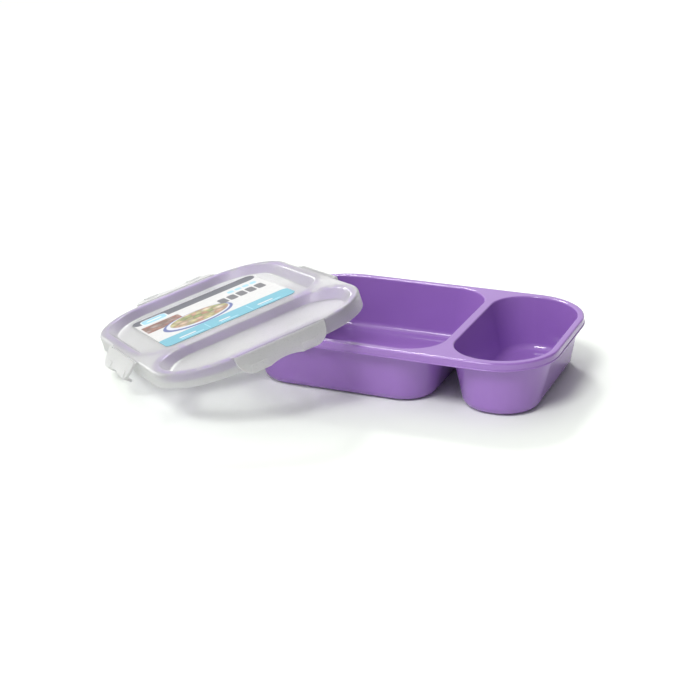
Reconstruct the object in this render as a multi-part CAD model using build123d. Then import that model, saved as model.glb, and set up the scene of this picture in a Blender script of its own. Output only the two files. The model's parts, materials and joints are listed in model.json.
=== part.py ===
from build123d import *
import math
import os

# ---------------------------------------------------------------------------
# Bento lunch box: a two-bowl tray and, leaning on its left rim, the clip-on lid
# that has been taken off it.  Millimetres.  +Z is up, the tray's long side runs
# along X, and the origin is the middle of the tray's footprint on the table.
# ---------------------------------------------------------------------------

# Tray
TRAY_LENGTH = 222.0
TRAY_WIDTH = 145.6
TRAY_HEIGHT = 40.6
TRAY_CORNER = 43.0
WALL = 1.8
FLANGE_SHORT = 5.2         # flange width at the two ends
FLANGE_LONG = 7.0          # flange width along the two long sides
LIP_DROP = 5.8             # height of the turned-down lip round the flange
LIP_WALL = 1.5
LIP_BEAD = 0.5             # how far the lip's bottom edge stands proud
LIP_BEAD_HEIGHT = 1.0
LIP_BEAD_ROUND = 0.4
RIM_ROUND = 1.4
MOUTH_ROUND = 1.1
DIVIDER_X = 38.1           # centre line of the bridge between the bowls
DIVIDER_WIDTH = 6.2
BOWL_END_CORNER = 36.0     # mouth corner radius at the tray's ends
BOWL_DIVIDER_CORNER = 27.0
FOOT_END_INSET = 13.0      # how far the bowl's foot is inside the rim, at the ends
FOOT_SIDE_INSET = 11.4
FOOT_DIVIDER_INSET = 12.4  # from the bridge's centre line to each bowl's foot
FOOT_CORNER = 22.0
FOOT_ROUND = 7.0

# Lid, drawn flat in its own frame with its top face at z = 0
LID_LENGTH = 227.0
LID_WIDTH = 152.6
LID_CORNER = 48.1
LID_DEPTH = 10.9           # top face to the bottom of the skirt
LID_WALL = 1.3
LID_EDGE_ROUND = 2.2
PANEL_TOP = 6.6            # depth of the recessed panels below the top face
PANEL_THICKNESS = 1.2
PANEL_ROUND = 1.2          # where a panel turns up into its wall, above
PANEL_SKIN_ROUND = 1.8     # the same below
RECESS_INSET = 7.0         # bead width round the lid
RECESS_END_SLOPE = 3.1     # how far the recess wall leans in at the ends
RECESS_SIDE_SLOPE = 5.9    # the same along the long sides
RECESS_ROUND = 1.4
LARGE_RECESS_EDGE_X = 33.5
SMALL_RECESS_EDGE_X = 42.8
LARGE_RECESS_EDGE_SLOPE = 2.5
SMALL_RECESS_EDGE_SLOPE = 2.7
LARGE_RECESS_CORNER = 40.0
SMALL_RECESS_CORNER = 36.0
RECESS_DIVIDER_CORNER = 27.0
PANEL_CORNER_LOSS = 4.0    # how much tighter the panel's outer corners are than the mouth's
PANEL_DIVIDER_CORNER_LOSS = 3.0

# Seal, pressed into the channel under the lid's bead
SEAL_GAP = 0.15
SEAL_BOTTOM = 6.5
SEAL_LONG_SIDE_MARGIN = 3.3   # lid's outline to the seal along the long sides
SEAL_END_MARGIN = 1.5         # the same at the ends
SEAL_CORNER = 44.0
SEAL_LARGE_NOTCH_CORNER = 35.0
SEAL_SMALL_NOTCH_CORNER = 32.0
SEAL_SMALL_END_CORNER = 38.0
SEAL_NOTCH_OVERLAP = 3.0      # how far each loop's outline runs past the divider's middle
CHANNEL_RIB = 0.9
CHANNEL_RIB_DEPTH = 4.2

# Label on the large panel
LABEL_X = (-92.0, 6.0)
LABEL_Y = (-47.5, 55.0)
LABEL_CORNER = 5.0
LABEL_THICKNESS = 0.25

# Latches, drawn closed with the hinge axis along Y through the origin
LATCH_LENGTH = 65.0
LATCH_PLATE = 1.8
LATCH_INNER_FACE = -0.5
LATCH_DROP = 13.2           # hinge axis to the bottom of the end pads
LATCH_MIDDLE_DROP = 11.2
LATCH_CORNER = 11.0
LATCH_EDGE_ROUND = 0.5
PAD_CENTRE = 18.2
PAD_WIDTH = 13.0
PAD_PROUD = 0.6
PAD_HEIGHT = 6.0
PAD_CORNER = 1.6
PAD_EDGE_ROUND = 0.4
PAD_SINK = 0.2              # how far the pad's block starts inside the plate
HOOK_REACH = 6.1            # hinge axis to the hook's tip, inwards
HOOK_THICKNESS = 1.6
HOOK_WIDTH = 12.0
HOOK_CORNER = 1.5
AXIS_OUT = 1.25             # hinge axis outside the lid's wall
AXIS_DOWN = 1.0             # hinge axis below the lid's top face
FILM_RADIUS = 0.50
FILM_WEB = 0.4
FILM_SHORTER = 1.0          # how much shorter the film is than the latch
KNUCKLE_BORE = 0.56
KNUCKLE_RADIUS = 1.3
KNUCKLE_TOP_DEG = 20.0      # how far above the axis the knuckle wraps
RIB_TOP = 0.12              # top of the squared hinge edge below the top face
RIB_HEIGHT = 3.0
RIB_THICKNESS = 3.0
RIB_LONGER = 3.0            # how much longer the hinge edge is than the latch

# Where the lid lies: turned on the table, tipped, one corner down
LID_TURN = -41.5
LID_TIP_X = 14.0
LID_TIP_Y = -9.44
LID_AT = (-131.0, -46.4, 41.95)

# How far each latch is open, as the lid lies there
OPEN_FRONT = 12.0
OPEN_RIGHT = 3.0
OPEN_BACK = 87.0
OPEN_LEFT = 45.0

HALF_LENGTH = TRAY_LENGTH / 2
HALF_WIDTH = TRAY_WIDTH / 2


def outline(x_low, x_high, half_width, corner_low, corner_high):
    """Rounded rectangle with one corner radius at each end."""
    shape = Pos((x_low + x_high) / 2, 0) * Rectangle(x_high - x_low, 2 * half_width)
    shape = fillet(shape.vertices().group_by(Axis.X)[0], corner_low)
    return fillet(shape.vertices().group_by(Axis.X)[-1], corner_high)


def even_outline(length, width, corner):
    return outline(-length / 2, length / 2, width / 2, corner, corner)


def prism(shape, z_low, z_high):
    return extrude(Pos(0, 0, z_low) * shape, z_high - z_low)


def tapered(low_shape, high_shape, z_low, z_high, floor_round):
    """Straight-sided block between two outlines, with its bottom edge rounded."""
    block = loft([Pos(0, 0, z_low) * low_shape, Pos(0, 0, z_high) * high_shape], ruled=True)
    return fillet(block.edges().group_by(Axis.Z)[0], floor_round)


def inner_edges(shape, z, length, width, corner, inset):
    """Edges at height z that lie further than inset inside a rounded rectangle."""
    chosen = []
    for edge in shape.edges().filter_by_position(Axis.Z, z - 0.01, z + 0.01):
        middle = edge @ 0.5
        dx = max(abs(middle.X) - (length / 2 - corner), 0)
        dy = max(abs(middle.Y) - (width / 2 - corner), 0)
        if math.hypot(dx, dy) < corner - inset:
            chosen.append(edge)
    return chosen


# ---------------------------------------------------------------- tray

def bowl(end, shrink, z_floor, z_mouth, floor_round):
    """One bowl's block: end is -1 for the large bowl and +1 for the small one."""
    mouth_end = HALF_LENGTH - FLANGE_SHORT - shrink
    mouth_bridge = DIVIDER_X + end * (DIVIDER_WIDTH / 2 + shrink)
    mouth_side = HALF_WIDTH - FLANGE_LONG - shrink
    foot_end = HALF_LENGTH - FOOT_END_INSET - shrink
    foot_bridge = DIVIDER_X + end * (FOOT_DIVIDER_INSET + shrink)
    foot_side = HALF_WIDTH - FOOT_SIDE_INSET - shrink
    end_corner = BOWL_END_CORNER - shrink
    bridge_corner = BOWL_DIVIDER_CORNER - shrink
    foot_corner = FOOT_CORNER - shrink
    if end > 0:
        mouth = outline(mouth_bridge, mouth_end, mouth_side, bridge_corner, end_corner)
        foot = outline(foot_bridge, foot_end, foot_side, foot_corner, foot_corner)
    else:
        mouth = outline(-mouth_end, mouth_bridge, mouth_side, end_corner, bridge_corner)
        foot = outline(-foot_end, foot_bridge, foot_side, foot_corner, foot_corner)
    return tapered(foot, mouth, z_floor, z_mouth, floor_round)


def make_tray():
    lip_bottom = TRAY_HEIGHT - LIP_DROP
    face = even_outline(
        TRAY_LENGTH - 2 * LIP_BEAD, TRAY_WIDTH - 2 * LIP_BEAD, TRAY_CORNER - LIP_BEAD
    )
    rim = prism(face, lip_bottom, TRAY_HEIGHT)
    rim = fillet(rim.edges().group_by(Axis.Z)[-1], RIM_ROUND)
    bead_outline = even_outline(TRAY_LENGTH, TRAY_WIDTH, TRAY_CORNER)
    bead = prism(bead_outline, lip_bottom, lip_bottom + LIP_BEAD_HEIGHT)
    bead_edges = bead.edges().group_by(Axis.Z)
    bead = fillet(bead_edges[-1] + bead_edges[0], LIP_BEAD_ROUND)
    under = LIP_BEAD + LIP_WALL
    hollow = prism(
        even_outline(TRAY_LENGTH - 2 * under, TRAY_WIDTH - 2 * under, TRAY_CORNER - under),
        lip_bottom,
        TRAY_HEIGHT - WALL,
    )
    tray = rim + bead - hollow
    for end in (-1, 1):
        tray += bowl(end, -WALL, 0, TRAY_HEIGHT - WALL / 2, FOOT_ROUND)
    for end in (-1, 1):
        tray -= bowl(end, 0, WALL, TRAY_HEIGHT, FOOT_ROUND - WALL)
    mouths = inner_edges(
        tray, TRAY_HEIGHT, TRAY_LENGTH, TRAY_WIDTH, TRAY_CORNER, LIP_BEAD + 2 * RIM_ROUND
    )
    return fillet(mouths, MOUTH_ROUND)


# ---------------------------------------------------------------- lid

def recess(end, grow, z_floor, floor_round):
    """One recessed panel's block, in the lid's frame; grow makes its outer skin."""
    share = -z_floor / PANEL_TOP
    top_end = LID_LENGTH / 2 - RECESS_INSET + grow
    top_side = LID_WIDTH / 2 - RECESS_INSET + grow
    low_end = top_end - RECESS_END_SLOPE * share
    low_side = top_side - RECESS_SIDE_SLOPE * share
    divider_corner = RECESS_DIVIDER_CORNER + grow
    low_divider_corner = divider_corner - PANEL_DIVIDER_CORNER_LOSS
    if end > 0:
        corner = SMALL_RECESS_CORNER + grow
        edge = SMALL_RECESS_EDGE_X - grow
        low_edge = edge + SMALL_RECESS_EDGE_SLOPE * share
        top = outline(edge, top_end, top_side, divider_corner, corner)
        low = outline(
            low_edge, low_end, low_side, low_divider_corner, corner - PANEL_CORNER_LOSS
        )
    else:
        corner = LARGE_RECESS_CORNER + grow
        edge = LARGE_RECESS_EDGE_X + grow
        low_edge = edge - LARGE_RECESS_EDGE_SLOPE * share
        top = outline(-top_end, edge, top_side, corner, divider_corner)
        low = outline(
            -low_end, low_edge, low_side, corner - PANEL_CORNER_LOSS, low_divider_corner
        )
    return tapered(low, top, z_floor, 0, floor_round)


def outer_skins(extra):
    """The outer skins of both recessed panels, as one pair of solids."""
    depth = PANEL_TOP + PANEL_THICKNESS
    return [recess(end, LID_WALL + extra, -depth, PANEL_SKIN_ROUND) for end in (-1, 1)]


def seal_outline(grow):
    """Figure-of-eight outline of the seal, notched at the divider's ends."""
    half_x = LID_LENGTH / 2 - SEAL_END_MARGIN + grow
    half_y = LID_WIDTH / 2 - SEAL_LONG_SIDE_MARGIN + grow
    middle = (LARGE_RECESS_EDGE_X + SMALL_RECESS_EDGE_X) / 2
    past = SEAL_NOTCH_OVERLAP + grow
    large = outline(
        -half_x, middle + past, half_y, SEAL_CORNER + grow, SEAL_LARGE_NOTCH_CORNER + grow
    )
    small = outline(
        middle - past, half_x, half_y, SEAL_SMALL_NOTCH_CORNER + grow, SEAL_SMALL_END_CORNER + grow
    )
    return (large + small) & even_outline(2 * half_x, 2 * half_y, SEAL_CORNER + grow)


def side_place(side):
    """Location that carries a latch's own frame to one side of the lid."""
    turn, half = {
        "front": (0, LID_LENGTH / 2),
        "right": (90, LID_WIDTH / 2),
        "back": (180, LID_LENGTH / 2),
        "left": (270, LID_WIDTH / 2),
    }[side]
    return Rot(0, 0, turn) * Pos(half + AXIS_OUT, 0, -AXIS_DOWN)


def make_lid_shell():
    shell = prism(even_outline(LID_LENGTH, LID_WIDTH, LID_CORNER), -LID_DEPTH, 0)
    shell = fillet(shell.edges().group_by(Axis.Z)[-1], LID_EDGE_ROUND)
    rib_x = -AXIS_OUT - RIB_THICKNESS / 2
    rib_z = AXIS_DOWN - RIB_TOP - RIB_HEIGHT / 2
    rib = Pos(rib_x, 0, rib_z) * Box(RIB_THICKNESS, LATCH_LENGTH + RIB_LONGER, RIB_HEIGHT)
    for side in ("front", "right", "back", "left"):
        shell += side_place(side) * rib
    hollow = prism(
        even_outline(LID_LENGTH - 2 * LID_WALL, LID_WIDTH - 2 * LID_WALL, LID_CORNER - LID_WALL),
        -LID_DEPTH,
        -LID_WALL,
    )
    rib_outline = seal_outline(SEAL_GAP + CHANNEL_RIB) - seal_outline(SEAL_GAP)
    hollow -= prism(rib_outline, -CHANNEL_RIB_DEPTH, -LID_WALL)
    for skin in outer_skins(0):
        hollow -= skin
    shell -= hollow
    for end in (-1, 1):
        shell -= recess(end, 0, -PANEL_TOP, PANEL_ROUND)
    mouths = inner_edges(
        shell, 0, LID_LENGTH, LID_WIDTH, LID_CORNER, LID_EDGE_ROUND + RECESS_ROUND
    )
    return fillet(mouths, RECESS_ROUND)


def make_seal():
    seal = prism(seal_outline(0), -SEAL_BOTTOM, -LID_WALL)
    for skin in outer_skins(SEAL_GAP):
        seal -= skin
    return seal


def make_label():
    sheet = Pos(sum(LABEL_X) / 2, sum(LABEL_Y) / 2) * RectangleRounded(
        LABEL_X[1] - LABEL_X[0], LABEL_Y[1] - LABEL_Y[0], LABEL_CORNER
    )
    return prism(sheet, -PANEL_TOP, -PANEL_TOP + LABEL_THICKNESS)


# ---------------------------------------------------------------- latches

def latch_plate():
    """The latch's plate: deep at both ends, where the hooks are, arched up between."""
    plate = Pos(0, -LATCH_DROP / 2) * Rectangle(LATCH_LENGTH, LATCH_DROP)
    plate = fillet(plate.vertices().group_by(Axis.Y)[0], LATCH_CORNER)
    arch_half = PAD_CENTRE - PAD_WIDTH / 2
    ends = (-arch_half, -LATCH_DROP), (arch_half, -LATCH_DROP)
    arch = ThreePointArc(ends[0], (0, -LATCH_MIDDLE_DROP), ends[1])
    plate -= make_face(arch + Line(*ends))
    block = extrude(Plane.YZ.offset(LATCH_INNER_FACE) * plate, LATCH_PLATE)
    outer = block.faces().sort_by(Axis.X)[-1].edges().sort_by(Axis.Z)
    return fillet(outer[:-1], LATCH_EDGE_ROUND)


def knuckle():
    """Part ring that wraps the outer side of the hinge film, along the latch."""
    ring = Circle(KNUCKLE_RADIUS) - Circle(KNUCKLE_BORE)
    reach = 2 * KNUCKLE_RADIUS
    top = reach * math.tan(math.radians(KNUCKLE_TOP_DEG))
    wedge = make_face(Polyline((0, 0), (0, -reach), (reach, -reach), (reach, top), (0, 0)))
    profile = Plane.XZ * (ring & wedge)
    return Pos(0, LATCH_LENGTH / 2, 0) * extrude(profile, LATCH_LENGTH)


def hook(centre):
    """Hook under the tray's lip, at one end of a latch."""
    depth = LATCH_INNER_FACE + LATCH_PLATE / 2 + HOOK_REACH
    block = Pos(depth / 2 - HOOK_REACH, centre, -LATCH_DROP + HOOK_THICKNESS / 2) * Box(
        depth, HOOK_WIDTH, HOOK_THICKNESS
    )
    return fillet(block.edges().filter_by(Axis.Z).group_by(Axis.X)[0], HOOK_CORNER)


def pad(centre):
    """Raised pad on a latch's outer face, over its hook."""
    face = LATCH_INNER_FACE + LATCH_PLATE
    shape = Pos(centre, -LATCH_DROP + PAD_HEIGHT / 2) * RectangleRounded(
        PAD_WIDTH - 2 * PAD_EDGE_ROUND, PAD_HEIGHT - 2 * PAD_EDGE_ROUND, PAD_CORNER
    )
    block = extrude(Plane.YZ.offset(face - PAD_SINK) * shape, PAD_PROUD + PAD_SINK)
    return fillet(block.faces().sort_by(Axis.X)[-1].edges(), PAD_EDGE_ROUND)


def make_latch():
    latch = latch_plate() - Rot(90, 0, 0) * Cylinder(KNUCKLE_BORE, 2 * LATCH_LENGTH)
    latch += knuckle()
    for centre in (-PAD_CENTRE, PAD_CENTRE):
        latch += hook(centre)
        latch += pad(centre)
    return latch


def make_film():
    """Hinge film: the thinned fold line, a round bead on a short web."""
    length = LATCH_LENGTH - FILM_SHORTER
    bead = Rot(90, 0, 0) * Cylinder(FILM_RADIUS, length)
    web = Pos(-AXIS_OUT / 2, 0, 0) * Box(AXIS_OUT, length, FILM_WEB)
    return bead + web


def save(node, shape):
    shape.label = node
    export_step(shape, os.path.join("parts", node + ".step"))


def main():
    os.makedirs("parts", exist_ok=True)
    lid_place = Pos(*LID_AT) * Rot(0, 0, LID_TURN) * Rot(LID_TIP_X, 0, 0) * Rot(0, LID_TIP_Y, 0)
    save("tray", make_tray())
    save("lid_shell", lid_place * make_lid_shell())
    save("seal", lid_place * make_seal())
    save("label", lid_place * make_label())
    latch = make_latch()
    film = make_film()
    opened = {"front": OPEN_FRONT, "right": OPEN_RIGHT, "back": OPEN_BACK, "left": OPEN_LEFT}
    for side, angle in opened.items():
        place = lid_place * side_place(side)
        save("latch_" + side, place * Rot(0, -angle, 0) * latch)
        save("hinge_film_" + side, place * film)


main()
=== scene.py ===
import json
import math

import bpy
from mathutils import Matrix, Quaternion, Vector


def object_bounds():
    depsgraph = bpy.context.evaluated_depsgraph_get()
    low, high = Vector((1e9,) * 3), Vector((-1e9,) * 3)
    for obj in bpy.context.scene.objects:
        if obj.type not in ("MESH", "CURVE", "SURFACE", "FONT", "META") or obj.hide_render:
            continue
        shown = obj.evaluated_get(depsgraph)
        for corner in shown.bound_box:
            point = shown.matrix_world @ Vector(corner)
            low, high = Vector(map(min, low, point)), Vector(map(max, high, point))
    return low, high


# A bento lunch box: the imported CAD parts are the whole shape, and this script gives them their
# materials, and adds the floor, the light and the camera.  Metres, in the CAD part's own frame.

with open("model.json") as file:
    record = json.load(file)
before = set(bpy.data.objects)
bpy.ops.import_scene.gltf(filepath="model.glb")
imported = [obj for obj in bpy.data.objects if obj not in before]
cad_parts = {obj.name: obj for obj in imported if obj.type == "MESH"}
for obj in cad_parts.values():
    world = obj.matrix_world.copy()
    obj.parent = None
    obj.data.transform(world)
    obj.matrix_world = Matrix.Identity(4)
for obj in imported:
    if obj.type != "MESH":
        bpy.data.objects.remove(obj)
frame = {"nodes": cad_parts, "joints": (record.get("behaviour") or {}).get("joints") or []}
cad_low, cad_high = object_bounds()
SCENE = bpy.context.scene
MM = 0.001
SIDES = ("front", "right", "back", "left")

# Camera: the angles at which it stands round the origin, in degrees, its distance, its lens in
# millimetres, and how far it is moved sideways and up, so that it looks past the origin
CAMERA_AZIMUTH = 23.0
CAMERA_ELEVATION = 21.08
CAMERA_ROLL = -0.85
CAMERA_DISTANCE = 1.07228
CAMERA_LENS = 77.17
CAMERA_SENSOR = 36.0
CAMERA_NEAR = 0.05
CAMERA_FAR = 50.0
AIM_LEFT = 0.04878
AIM_UP = 0.01286

# Floor
FLOOR_HALF = 40.0
FLOOR_GAP = 0.0002
FLOOR_COLOUR = (0.905, 0.945, 0.885, 1)
FLOOR_ROUGHNESS = 0.9

# Room: its strength all round, and the parts of it that are brighter or darker, each with its
# direction, the cosines off it where the change starts and is full, and the change in strength
ROOM = 0.58
ROOM_GLOWS = (
    ((-0.39, 0.92, 0.42), 0.70, 0.97, 0.30),  # behind the box
    ((-0.60, -0.15, 0.78), 0.30, 0.95, 0.70),  # overhead, to the left
    ((0.70, 0.10, 0.70), 0.35, 0.95, -0.55),  # overhead, to the right
)

# Lamps: a soft sun from the front left, and a small lamp behind that makes glints
KEY_FROM = (-0.20, -0.72, 1.0)
KEY_STRENGTH = 1.55
KEY_ANGLE = 20.0
GLINT_FROM = (-0.50, 0.95, 1.05)
GLINT_SIZE = 0.22
GLINT_WATTS = 6.5


# ------------------------------------------------------------------ node helpers

class Nodes:
    """A node tree, with one short call for each kind of node."""

    def __init__(self, tree):
        self.tree = tree

    def node(self, kind, **settings):
        made = self.tree.nodes.new(kind)
        for key, value in settings.items():
            setattr(made, key, value)
        return made

    def put(self, value, socket):
        """Links a socket, or sets a plain value, on an input."""
        if isinstance(value, bpy.types.NodeSocket):
            self.tree.links.new(value, socket)
        else:
            socket.default_value = value

    def place(self):
        """The surface point, in the part's rest frame, in metres."""
        return self.node("ShaderNodeTexCoord").outputs["Object"]

    def math(self, operation, a, b=0.0):
        made = self.node("ShaderNodeMath", operation=operation)
        self.put(a, made.inputs[0])
        self.put(b, made.inputs[1])
        return made.outputs[0]

    def dot(self, vector, direction):
        made = self.node("ShaderNodeVectorMath", operation="DOT_PRODUCT")
        self.put(vector, made.inputs[0])
        made.inputs[1].default_value = direction
        return made.outputs["Value"]

    def along(self, vector, origin, direction):
        """How far a point lies from origin along direction, in millimetres."""
        moved = self.node("ShaderNodeVectorMath", operation="SUBTRACT")
        self.put(vector, moved.inputs[0])
        moved.inputs[1].default_value = origin
        return self.dot(moved.outputs[0], Vector(direction) / MM)

    def noise(self, vector, scale, detail, roughness=0.5):
        """Noise with scale waves to the metre, mostly between 0.3 and 0.7."""
        made = self.node("ShaderNodeTexNoise")
        self.put(vector, made.inputs["Vector"])
        made.inputs["Scale"].default_value = scale
        made.inputs["Detail"].default_value = detail
        made.inputs["Roughness"].default_value = roughness
        return made.outputs["Fac"]

    def spread(self, value, low, high, new_low, new_high):
        """Maps low to high onto new_low to new_high, and holds it there."""
        made = self.node("ShaderNodeMapRange", clamp=True)
        for socket, number in zip(made.inputs, (value, low, high, new_low, new_high)):
            self.put(number, socket)
        return made.outputs[0]

    def vary(self, noise, low, high, swing=0.2):
        """Maps noise within swing of its middle onto low to high."""
        return self.spread(noise, 0.5 - swing, 0.5 + swing, low, high)

    def mix(self, share, a, b):
        made = self.node("ShaderNodeMix", data_type="RGBA")
        self.put(share, made.inputs["Factor"])
        self.put(a, made.inputs["A"])
        self.put(b, made.inputs["B"])
        return made.outputs["Result"]

    def ramp(self, value, stops):
        """Turns a value into a colour, from stops of position and colour."""
        made = self.node("ShaderNodeValToRGB")
        elements = made.color_ramp.elements
        while len(elements) < len(stops):
            elements.new(0.5)
        for element, (position, paint) in zip(elements, stops):
            element.position = position
            element.color = paint
        self.put(value, made.inputs[0])
        return made.outputs["Color"]

    def bump(self, height, distance, strength):
        made = self.node("ShaderNodeBump")
        self.put(height, made.inputs["Height"])
        made.inputs["Distance"].default_value = distance
        made.inputs["Strength"].default_value = strength
        return made.outputs["Normal"]

    def principled(self, **values):
        """A Principled shader; an input's name has _ for each space."""
        made = self.node("ShaderNodeBsdfPrincipled")
        for key, value in values.items():
            self.put(value, made.inputs[key.replace("_", " ")])
        return made.outputs["BSDF"]


class Look(Nodes):
    """A new material's node tree."""

    def __init__(self, name):
        self.material = bpy.data.materials.new(name)
        self.material.use_nodes = True
        super().__init__(self.material.node_tree)
        self.tree.nodes.clear()

    def finish(self, shader):
        self.put(shader, self.node("ShaderNodeOutputMaterial").inputs["Surface"])
        return self.material


def colour(red, green, blue):
    return (red, green, blue, 1.0)


# ------------------------------------------------------------------ plastics and rubber

def tray_plastic():
    """Glossy purple moulded plastic, faintly clouded, with a fine moulded surface."""
    n = Look("tray_plastic_look")
    p = n.place()
    cloud = n.noise(p, scale=18, detail=3)
    fine = n.noise(p, scale=1100, detail=2, roughness=0.6)
    smear = n.noise(p, scale=90, detail=5, roughness=0.65)
    deep_purple = colour(0.290, 0.143, 0.468)
    pale_purple = colour(0.307, 0.154, 0.492)
    cloud_height = 3.0
    height = n.math("ADD", fine, n.math("MULTIPLY", cloud, cloud_height))
    shader = n.principled(
        Base_Color=n.mix(n.vary(cloud, 0, 1, swing=0.15), deep_purple, pale_purple),
        Roughness=n.vary(smear, 0.09, 0.15),
        IOR=1.52,
        Specular_IOR_Level=0.65,
        Normal=n.bump(height, distance=0.03 * MM, strength=0.15),
    )
    return n.finish(shader)


def lid_plastic(name, milk, clarity):
    """Frosted see-through plastic: milky, with a fine satin grain and soft flow marks.

    Milk is how pale it is, and clarity is how much of it light goes through.  A shadow ray meets
    the thin shader instead, so that the lid's shadow is pale.
    """
    n = Look(name)
    p = n.place()
    flow = n.noise(p, scale=35, detail=4)
    grain = n.noise(p, scale=2600, detail=2, roughness=0.6)
    flow_change = 0.02
    low = milk - flow_change
    high = milk + flow_change
    shader = n.principled(
        Base_Color=n.mix(
            n.vary(flow, 0, 1, swing=0.15), colour(low, low, low), colour(high, high, high)
        ),
        Roughness=n.vary(grain, 0.27, 0.37),
        IOR=1.40,
        Transmission_Weight=clarity,
        Normal=n.bump(grain, distance=0.05 * MM, strength=0.3),
    )
    let_through = 0.62
    thin = n.node("ShaderNodeBsdfTransparent")
    thin.inputs["Color"].default_value = colour(let_through, let_through, let_through)
    both = n.node("ShaderNodeMixShader")
    n.put(n.node("ShaderNodeLightPath").outputs["Is Shadow Ray"], both.inputs[0])
    n.put(shader, both.inputs[1])
    n.put(thin.outputs[0], both.inputs[2])
    return n.finish(both.outputs[0])


def seal_rubber():
    """Soft purple silicone, satin, with a dusting of paler specks."""
    n = Look("seal_rubber_look")
    p = n.place()
    cloud = n.noise(p, scale=60, detail=4)
    dust = n.noise(p, scale=1500, detail=3, roughness=0.7)
    deep_purple = colour(0.36, 0.21, 0.59)
    pale_purple = colour(0.42, 0.26, 0.65)
    speck = colour(0.62, 0.50, 0.80)
    speck_share = n.spread(dust, low=0.66, high=0.74, new_low=0, new_high=0.25)
    shader = n.principled(
        Base_Color=n.mix(speck_share, n.mix(n.vary(cloud, 0, 1), deep_purple, pale_purple), speck),
        Roughness=n.vary(dust, 0.5, 0.65),
        Sheen_Weight=0.15,
        Normal=n.bump(dust, distance=0.04 * MM, strength=0.4),
    )
    return n.finish(shader)


# ------------------------------------------------------------------ the label's print

# Where the marks lie, in the lid's own x and y, in millimetres.  A box is its x low and high, its
# y low and high and its corner's radius; an oval is its middle's x and y, and its half widths.
SLATE_BAND = (-92.5, -77.0, -47.5, 54.0, 6.5)
BLUE_BAND = (-16.0, 7.0, -49.0, 55.5, 5.5)
SMALL_PICTURE = (-68.0, -47.0, -46.0, -16.0, 1.0)
BOWL_RIM = (-36.0, -9.5, 20.0, 27.5)
BOWL_INSIDE = (-37.5, -9.0, 18.0, 25.0)
BOWL_FOOD = (-39.0, -7.5, 16.0, 23.0)
BADGE_EDGE = (-88.0, -73.0, -42.0, -21.0, 4.5)
BADGE = (-87.0, -74.0, -41.0, -22.0, 3.6)
BADGE_BAR = (-81.8, -79.2, -37.5, -25.5, 1.2)

# On the blue band: three notes, each a white dash beside a longer pale one, and the lines that
# part them
NOTES_Y = ((-35.0, -17.0), (-4.0, 10.0), (27.0, 44.0))
NOTE_HEAD_X = (-4.5, -1.8)
NOTE_HEAD_CORNER = 1.2
NOTE_HEAD_SHORTER = 5.0
NOTE_LINE_X = (0.2, 2.4)
NOTE_LINE_CORNER = 1.0
DIVIDERS_Y = (-12.5, 21.0)
DIVIDER_X = (-12.5, 3.0)
DIVIDER_HALF = 0.35
DIVIDER_CORNER = 0.3

# Rows of plain blocks across the white ground: where the first starts along y, and their pitch,
# length, number and corner's radius
DARK_BLOCKS = dict(x_low=-58.5, x_high=-43.5, first=13.0, pitch=7.7, length=6.3, count=5, corner=2.0)
PALE_BLOCKS = dict(x_low=-70.0, x_high=-63.5, first=25.5, pitch=6.3, length=4.9, count=4, corner=1.6)

# Soft edges of the marks, a box's in millimetres and an oval's as a share of its radius squared
BOX_SOFT = 0.25
OVAL_SOFT = 0.03

# Colours of the chopped food, each with the place in the ramp where it stands
MEAT = (
    (0.0, colour(0.30, 0.09, 0.07)),
    (0.45, colour(0.40, 0.21, 0.16)),
    (0.75, colour(0.24, 0.14, 0.12)),
    (1.0, colour(0.50, 0.42, 0.38)),
)
VEGETABLES = (
    (0.0, colour(0.24, 0.34, 0.12)),
    (0.35, colour(0.58, 0.52, 0.24)),
    (0.60, colour(0.62, 0.50, 0.30)),
    (0.80, colour(0.60, 0.28, 0.17)),
    (1.0, colour(0.70, 0.64, 0.48)),
)


def lid_frame():
    """The lid's origin and its x and y directions, read from its hinges."""
    joints = {joint["name"]: joint for joint in frame["joints"]}
    x_axis = Vector(joints["latch_right_hinge"]["axis"])
    y_axis = -Vector(joints["latch_front_hinge"]["axis"])
    front = Vector(joints["latch_front_hinge"]["pos_m"])
    back = Vector(joints["latch_back_hinge"]["pos_m"])
    return (front + back) / 2, x_axis, y_axis


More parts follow.
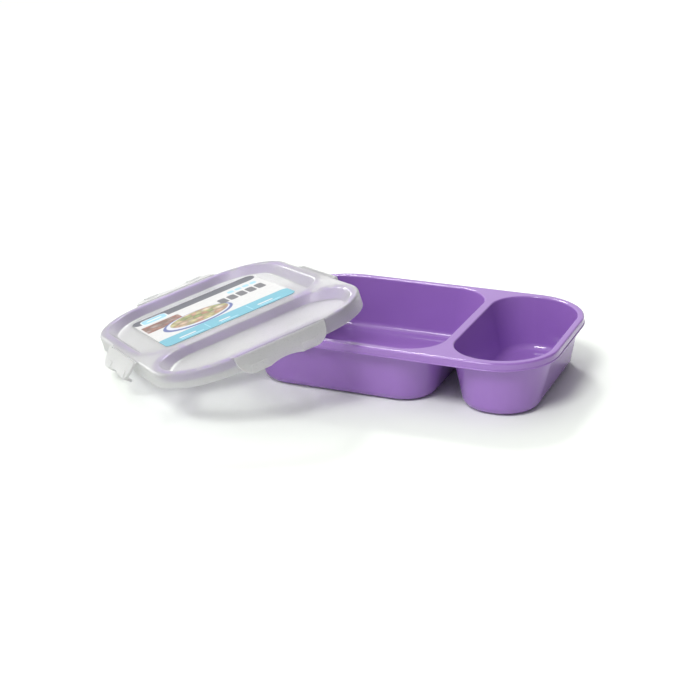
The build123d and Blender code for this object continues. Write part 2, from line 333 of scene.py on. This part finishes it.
class LabelArt:
    """Flat artwork on the label, in the lid's own x and y, in millimetres."""

    def __init__(self, nodes):
        self.n = nodes
        self.place = nodes.place()
        origin, x_axis, y_axis = lid_frame()
        self.x = nodes.along(self.place, origin, x_axis)
        self.y = nodes.along(self.place, origin, y_axis)

    def box(self, x_low, x_high, y_low, y_high, corner):
        """1 inside a rounded rectangle and 0 outside it."""
        n = self.n
        sides = []
        for value, low, high in ((self.x, x_low, x_high), (self.y, y_low, y_high)):
            away = n.math("ABSOLUTE", n.math("SUBTRACT", value, (low + high) / 2))
            sides.append(n.math("MAXIMUM", n.math("SUBTRACT", away, (high - low) / 2 - corner)))
        square = [n.math("MULTIPLY", side, side) for side in sides]
        far = n.math("SQRT", n.math("ADD", *square))
        return n.spread(far, corner - BOX_SOFT, corner + BOX_SOFT, 1, 0)

    def row(self, x_low, x_high, first, pitch, length, count, corner):
        """Boxes one after another along y, the first of them starting at first."""
        starts = [first + pitch * k for k in range(count)]
        return [self.box(x_low, x_high, start, start + length, corner) for start in starts]

    def oval(self, x, y, half_x, half_y):
        """1 inside an ellipse and 0 outside it."""
        n = self.n
        parts = []
        for value, middle, half in ((self.x, x, half_x), (self.y, y, half_y)):
            part = n.math("DIVIDE", n.math("SUBTRACT", value, middle), half)
            parts.append(n.math("MULTIPLY", part, part))
        return n.spread(n.math("ADD", *parts), 1 - OVAL_SOFT, 1 + OVAL_SOFT, 1, 0)

    def food(self, scale, stops):
        """Chopped pieces of food, each with its own colour from stops, darker at their edges."""
        n = self.n
        cells = n.node("ShaderNodeTexVoronoi")
        n.put(self.place, cells.inputs["Vector"])
        cells.inputs["Scale"].default_value = scale
        pick = n.node("ShaderNodeSeparateColor")
        n.put(cells.outputs["Color"], pick.inputs[0])
        edge = n.spread(cells.outputs["Distance"], low=0.1, high=0.7, new_low=0, new_high=0.55)
        sauce = colour(0.08, 0.05, 0.03)
        return n.mix(edge, n.ramp(pick.outputs[0], stops), sauce)


def label_print():
    """Printed film: coloured bands, a little picture of food and plain marks, with no lettering."""
    n = Look("label_print_look")
    art = LabelArt(n)
    cloud = n.noise(art.place, scale=300, detail=4)
    grain = n.noise(art.place, scale=1800, detail=2)
    white = n.mix(n.vary(cloud, 0, 1), colour(0.62, 0.62, 0.61), colour(0.67, 0.67, 0.66))
    slate = colour(0.115, 0.12, 0.14)
    grey = colour(0.14, 0.14, 0.15)
    blue = colour(0.145, 0.42, 0.52)
    pale_blue = colour(0.30, 0.58, 0.69)

    marks = [
        (art.box(*SLATE_BAND), slate),
        (art.box(*SMALL_PICTURE), art.food(scale=210, stops=MEAT)),
        (art.oval(*BOWL_RIM), colour(0.09, 0.12, 0.32)),
        (art.oval(*BOWL_INSIDE), colour(0.62, 0.64, 0.70)),
        (art.oval(*BOWL_FOOD), art.food(scale=190, stops=VEGETABLES)),
        (art.box(*BLUE_BAND), blue),
    ]
    marks += [(block, grey) for block in art.row(**DARK_BLOCKS)]
    marks += [(block, pale_blue) for block in art.row(**PALE_BLOCKS)]
    for low, high in NOTES_Y:
        head = art.box(*NOTE_HEAD_X, low, high - NOTE_HEAD_SHORTER, NOTE_HEAD_CORNER)
        line = art.box(*NOTE_LINE_X, low, high, NOTE_LINE_CORNER)
        marks += [(head, white), (line, pale_blue)]
    for y in DIVIDERS_Y:
        divider = art.box(*DIVIDER_X, y - DIVIDER_HALF, y + DIVIDER_HALF, DIVIDER_CORNER)
        marks.append((divider, pale_blue))
    marks += [
        (art.box(*BADGE_EDGE), colour(0.72, 0.80, 0.84)),
        (art.box(*BADGE), pale_blue),
        (art.box(*BADGE_BAR), colour(0.78, 0.86, 0.88)),
    ]

    face = white
    for mask, paint in marks:
        face = n.mix(mask, face, paint)
    shader = n.principled(
        Base_Color=face,
        Roughness=n.vary(grain, 0.38, 0.48),
        Normal=n.bump(grain, distance=0.03 * MM, strength=0.25),
    )
    return n.finish(shader)


def dress(material, *nodes):
    """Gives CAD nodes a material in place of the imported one."""
    for name in nodes:
        mesh = frame["nodes"][name].data
        mesh.materials.clear()
        mesh.materials.append(material)


# ------------------------------------------------------------------ stage

def make_floor():
    """A plain pale square, just under the lowest point of the box."""
    z = cad_low.z - FLOOR_GAP
    h = FLOOR_HALF
    mesh = bpy.data.meshes.new("floor")
    mesh.from_pydata([(-h, -h, z), (h, -h, z), (h, h, z), (-h, h, z)], [], [(0, 1, 2, 3)])
    floor = bpy.data.objects.new("floor", mesh)
    SCENE.collection.objects.link(floor)
    n = Look("floor_look")
    shader = n.principled(Base_Color=FLOOR_COLOUR, Roughness=FLOOR_ROUGHNESS)
    mesh.materials.append(n.finish(shader))


def make_world():
    """A pale room that lights the box unevenly, and is white where the camera sees it."""
    world = bpy.data.worlds.new("studio")
    world.use_nodes = True
    n = Nodes(world.node_tree)
    way = n.node("ShaderNodeTexCoord").outputs["Generated"]
    glow = ROOM
    for direction, start, full, change in ROOM_GLOWS:
        facing = n.dot(way, Vector(direction).normalized())
        glow = n.math("ADD", glow, n.spread(facing, start, full, 0.0, change))
    background = world.node_tree.nodes["Background"]
    background.inputs["Color"].default_value = colour(1.0, 1.0, 1.0)
    seen = n.node("ShaderNodeLightPath").outputs["Is Camera Ray"]
    n.put(n.math("MAXIMUM", glow, seen), background.inputs["Strength"])
    SCENE.world = world


def make_lights():
    """The key and the glint, both turned towards the origin."""
    key = bpy.data.lights.new("key", "SUN")
    key.energy = KEY_STRENGTH
    key.angle = math.radians(KEY_ANGLE)
    glint = bpy.data.lights.new("glint", "AREA")
    glint.size = GLINT_SIZE
    glint.energy = GLINT_WATTS
    for data, place in ((key, KEY_FROM), (glint, GLINT_FROM)):
        light = bpy.data.objects.new(data.name, data)
        light.location = place
        light.rotation_mode = "QUATERNION"
        light.rotation_quaternion = Vector(place).to_track_quat("Z", "Y")
        SCENE.collection.objects.link(light)


def make_camera():
    """The photo's view, from the front right and above."""
    azimuth = math.radians(CAMERA_AZIMUTH)
    elevation = math.radians(CAMERA_ELEVATION)
    back = Vector((
        math.sin(azimuth) * math.cos(elevation),
        -math.cos(azimuth) * math.cos(elevation),
        math.sin(elevation),
    ))
    turn = (-back).to_track_quat("-Z", "Y")
    turn.rotate(Quaternion(back, math.radians(CAMERA_ROLL)))
    right = turn @ Vector((1, 0, 0))
    up = turn @ Vector((0, 1, 0))

    data = bpy.data.cameras.new("camera")
    data.lens = CAMERA_LENS
    data.sensor_width = CAMERA_SENSOR
    data.clip_start = CAMERA_NEAR
    data.clip_end = CAMERA_FAR
    camera = bpy.data.objects.new("camera", data)
    camera.rotation_mode = "QUATERNION"
    camera.rotation_quaternion = turn
    camera.location = back * CAMERA_DISTANCE - right * AIM_LEFT + up * AIM_UP
    SCENE.collection.objects.link(camera)
    SCENE.camera = camera


SCENE.view_settings.view_transform = "Standard"
make_camera()
make_world()
make_lights()
make_floor()

dress(tray_plastic(), "tray")
dress(lid_plastic("lid_shell_look", milk=0.77, clarity=0.76), "lid_shell")
dress(
    lid_plastic("latch_look", milk=0.75, clarity=0.60),
    *["latch_" + side for side in SIDES],
    *["hinge_film_" + side for side in SIDES],
)
dress(seal_rubber(), "seal")
dress(label_print(), "label")
